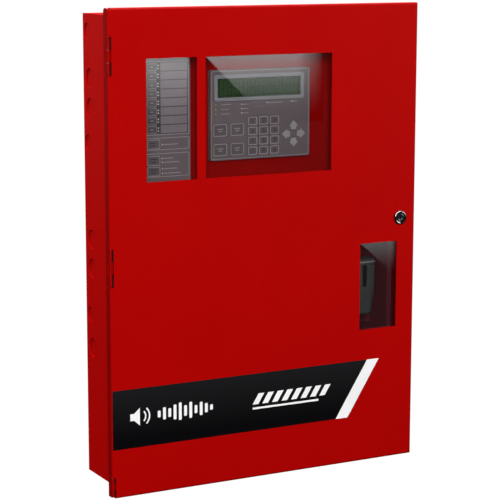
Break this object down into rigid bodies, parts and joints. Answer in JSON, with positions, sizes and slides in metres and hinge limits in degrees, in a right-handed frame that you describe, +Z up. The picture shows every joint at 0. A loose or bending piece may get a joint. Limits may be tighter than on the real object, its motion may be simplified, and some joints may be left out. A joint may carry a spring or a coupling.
{
  "type": "fire alarm control panel",
  "caption": "Red steel wall cabinet with a locking hinged door; clear windows show a display and keypad, a switch panel and a hand microphone.",
  "frame": {"origin": "centre of the box's back face, on the wall plane", "axes": "+Z up, +X to the right seen from the front, +Y into the wall, so the door faces -Y"},
  "size_m": [0.505, 0.0939, 0.694],
  "materials": {
    "red_paint": "satin powder coat",
    "steel": "zinc plated",
    "chrome": "polished",
    "lock_face": "dark plated face",
    "bezel_grey": "fine textured moulding",
    "key_grey": "satin keycap",
    "display_window": "dark green display behind a clear face",
    "display_frame": "black",
    "circuit_board": "solder mask",
    "terminal_plastic": "moulded",
    "label_card": "printed card",
    "indicator": "clear lens",
    "clear_pane": "clear acrylic",
    "door_label": "printed overlay",
    "microphone_plastic": "moulded",
    "talk_button": "soft rubber"
  },
  "bodies": {
    "cabinet": {"back_box": "red_paint", "box_hinge_leaves": "red_paint", "hinge_pins": "steel", "inner_panel": "red_paint", "panel_screws": "steel", "display_housing": "bezel_grey", "display_window": "display_window", "lcd_module": "display_frame", "display_board": "circuit_board", "switch_housing": "bezel_grey", "switch_board": "circuit_board", "label_strips": "label_card", "indicator_leds": "indicator", "main_board": "circuit_board", "terminal_blocks": "terminal_plastic", "mic_bay": "red_paint", "mic_clip": "steel"},
    "door": {"door": "red_paint", "door_hinge_leaves": "red_paint", "window_panes": "clear_pane", "window_clips": "steel", "door_label": "door_label", "lock_body": "chrome", "lock_nut": "steel"},
    "lock": {"lock_plug": "lock_face", "lock_cam": "steel"},
    "microphone": {"mic_shell": "microphone_plastic", "mic_cap": "microphone_plastic"},
    "talk_button": {"mic_talk_button": "talk_button"},
    "number_key_1": {"number_key_1": "key_grey"},
    "number_key_2": {"number_key_2": "key_grey"},
    "number_key_3": {"number_key_3": "key_grey"},
    "number_key_4": {"number_key_4": "key_grey"},
    "number_key_5": {"number_key_5": "key_grey"},
    "number_key_6": {"number_key_6": "key_grey"},
    "number_key_7": {"number_key_7": "key_grey"},
    "number_key_8": {"number_key_8": "key_grey"},
    "number_key_9": {"number_key_9": "key_grey"},
    "number_key_10": {"number_key_10": "key_grey"},
    "number_key_11": {"number_key_11": "key_grey"},
    "number_key_12": {"number_key_12": "key_grey"},
    "function_key_1": {"function_key_1": "key_grey"},
    "function_key_2": {"function_key_2": "key_grey"},
    "function_key_3": {"function_key_3": "key_grey"},
    "function_key_4": {"function_key_4": "key_grey"},
    "arrow_key_right": {"arrow_key_right": "key_grey"},
    "arrow_key_up": {"arrow_key_up": "key_grey"},
    "arrow_key_left": {"arrow_key_left": "key_grey"},
    "arrow_key_down": {"arrow_key_down": "key_grey"},
    "zone_key_1": {"zone_key_1": "key_grey"},
    "zone_key_2": {"zone_key_2": "key_grey"},
    "zone_key_3": {"zone_key_3": "key_grey"},
    "zone_key_4": {"zone_key_4": "key_grey"},
    "zone_key_5": {"zone_key_5": "key_grey"},
    "zone_key_6": {"zone_key_6": "key_grey"},
    "zone_key_7": {"zone_key_7": "key_grey"},
    "zone_key_8": {"zone_key_8": "key_grey"},
    "control_key_1": {"control_key_1": "key_grey"},
    "control_key_2": {"control_key_2": "key_grey"},
    "control_key_3": {"control_key_3": "key_grey"}
  },
  "joints": [
    {"name": "door_hinge", "type": "hinge", "parent": "cabinet", "child": "door", "pos_m": [-0.2498, -0.0886, 0], "axis": [0, 0, -1], "range_deg": [0, 170]},
    {"name": "lock_turn", "type": "hinge", "parent": "door", "child": "lock", "pos_m": [0.2267, -0.0863, 0.02], "axis": [0, -1, 0], "range_deg": [0, 90]},
    {"name": "microphone_lift", "type": "slide", "parent": "cabinet", "child": "microphone", "axis": [0, 0, 1], "range_m": [0, 0.03]},
    {"name": "talk_press", "type": "slide", "parent": "microphone", "child": "talk_button", "axis": [0, 1, 0], "range_m": [0, 0.0015], "stiffness_N_per_m": 600},
    {"name": "number_key_1_press", "type": "slide", "parent": "cabinet", "child": "number_key_1", "axis": [0, 1, 0], "range_m": [0, 0.0008], "stiffness_N_per_m": 600},
    {"name": "number_key_2_press", "type": "slide", "parent": "cabinet", "child": "number_key_2", "axis": [0, 1, 0], "range_m": [0, 0.0008], "stiffness_N_per_m": 600},
    {"name": "number_key_3_press", "type": "slide", "parent": "cabinet", "child": "number_key_3", "axis": [0, 1, 0], "range_m": [0, 0.0008], "stiffness_N_per_m": 600},
    {"name": "number_key_4_press", "type": "slide", "parent": "cabinet", "child": "number_key_4", "axis": [0, 1, 0], "range_m": [0, 0.0008], "stiffness_N_per_m": 600},
    {"name": "number_key_5_press", "type": "slide", "parent": "cabinet", "child": "number_key_5", "axis": [0, 1, 0], "range_m": [0, 0.0008], "stiffness_N_per_m": 600},
    {"name": "number_key_6_press", "type": "slide", "parent": "cabinet", "child": "number_key_6", "axis": [0, 1, 0], "range_m": [0, 0.0008], "stiffness_N_per_m": 600},
    {"name": "number_key_7_press", "type": "slide", "parent": "cabinet", "child": "number_key_7", "axis": [0, 1, 0], "range_m": [0, 0.0008], "stiffness_N_per_m": 600},
    {"name": "number_key_8_press", "type": "slide", "parent": "cabinet", "child": "number_key_8", "axis": [0, 1, 0], "range_m": [0, 0.0008], "stiffness_N_per_m": 600},
    {"name": "number_key_9_press", "type": "slide", "parent": "cabinet", "child": "number_key_9", "axis": [0, 1, 0], "range_m": [0, 0.0008], "stiffness_N_per_m": 600},
    {"name": "number_key_10_press", "type": "slide", "parent": "cabinet", "child": "number_key_10", "axis": [0, 1, 0], "range_m": [0, 0.0008], "stiffness_N_per_m": 600},
    {"name": "number_key_11_press", "type": "slide", "parent": "cabinet", "child": "number_key_11", "axis": [0, 1, 0], "range_m": [0, 0.0008], "stiffness_N_per_m": 600},
    {"name": "number_key_12_press", "type": "slide", "parent": "cabinet", "child": "number_key_12", "axis": [0, 1, 0], "range_m": [0, 0.0008], "stiffness_N_per_m": 600},
    {"name": "function_key_1_press", "type": "slide", "parent": "cabinet", "child": "function_key_1", "axis": [0, 1, 0], "range_m": [0, 0.0008], "stiffness_N_per_m": 600},
    {"name": "function_key_2_press", "type": "slide", "parent": "cabinet", "child": "function_key_2", "axis": [0, 1, 0], "range_m": [0, 0.0008], "stiffness_N_per_m": 600},
    {"name": "function_key_3_press", "type": "slide", "parent": "cabinet", "child": "function_key_3", "axis": [0, 1, 0], "range_m": [0, 0.0008], "stiffness_N_per_m": 600},
    {"name": "function_key_4_press", "type": "slide", "parent": "cabinet", "child": "function_key_4", "axis": [0, 1, 0], "range_m": [0, 0.0008], "stiffness_N_per_m": 600},
    {"name": "arrow_key_right_press", "type": "slide", "parent": "cabinet", "child": "arrow_key_right", "axis": [0, 1, 0], "range_m": [0, 0.0008], "stiffness_N_per_m": 600},
    {"name": "arrow_key_up_press", "type": "slide", "parent": "cabinet", "child": "arrow_key_up", "axis": [0, 1, 0], "range_m": [0, 0.0008], "stiffness_N_per_m": 600},
    {"name": "arrow_key_left_press", "type": "slide", "parent": "cabinet", "child": "arrow_key_left", "axis": [0, 1, 0], "range_m": [0, 0.0008], "stiffness_N_per_m": 600},
    {"name": "arrow_key_down_press", "type": "slide", "parent": "cabinet", "child": "arrow_key_down", "axis": [0, 1, 0], "range_m": [0, 0.0008], "stiffness_N_per_m": 600},
    {"name": "zone_key_1_press", "type": "slide", "parent": "cabinet", "child": "zone_key_1", "axis": [0, 1, 0], "range_m": [0, 0.0008], "stiffness_N_per_m": 600},
    {"name": "zone_key_2_press", "type": "slide", "parent": "cabinet", "child": "zone_key_2", "axis": [0, 1, 0], "range_m": [0, 0.0008], "stiffness_N_per_m": 600},
    {"name": "zone_key_3_press", "type": "slide", "parent": "cabinet", "child": "zone_key_3", "axis": [0, 1, 0], "range_m": [0, 0.0008], "stiffness_N_per_m": 600},
    {"name": "zone_key_4_press", "type": "slide", "parent": "cabinet", "child": "zone_key_4", "axis": [0, 1, 0], "range_m": [0, 0.0008], "stiffness_N_per_m": 600},
    {"name": "zone_key_5_press", "type": "slide", "parent": "cabinet", "child": "zone_key_5", "axis": [0, 1, 0], "range_m": [0, 0.0008], "stiffness_N_per_m": 600},
    {"name": "zone_key_6_press", "type": "slide", "parent": "cabinet", "child": "zone_key_6", "axis": [0, 1, 0], "range_m": [0, 0.0008], "stiffness_N_per_m": 600},
    {"name": "zone_key_7_press", "type": "slide", "parent": "cabinet", "child": "zone_key_7", "axis": [0, 1, 0], "range_m": [0, 0.0008], "stiffness_N_per_m": 600},
    {"name": "zone_key_8_press", "type": "slide", "parent": "cabinet", "child": "zone_key_8", "axis": [0, 1, 0], "range_m": [0, 0.0008], "stiffness_N_per_m": 600},
    {"name": "control_key_1_press", "type": "slide", "parent": "cabinet", "child": "control_key_1", "axis": [0, 1, 0], "range_m": [0, 0.0008], "stiffness_N_per_m": 600},
    {"name": "control_key_2_press", "type": "slide", "parent": "cabinet", "child": "control_key_2", "axis": [0, 1, 0], "range_m": [0, 0.0008], "stiffness_N_per_m": 600},
    {"name": "control_key_3_press", "type": "slide", "parent": "cabinet", "child": "control_key_3", "axis": [0, 1, 0], "range_m": [0, 0.0008], "stiffness_N_per_m": 600}
  ]
}
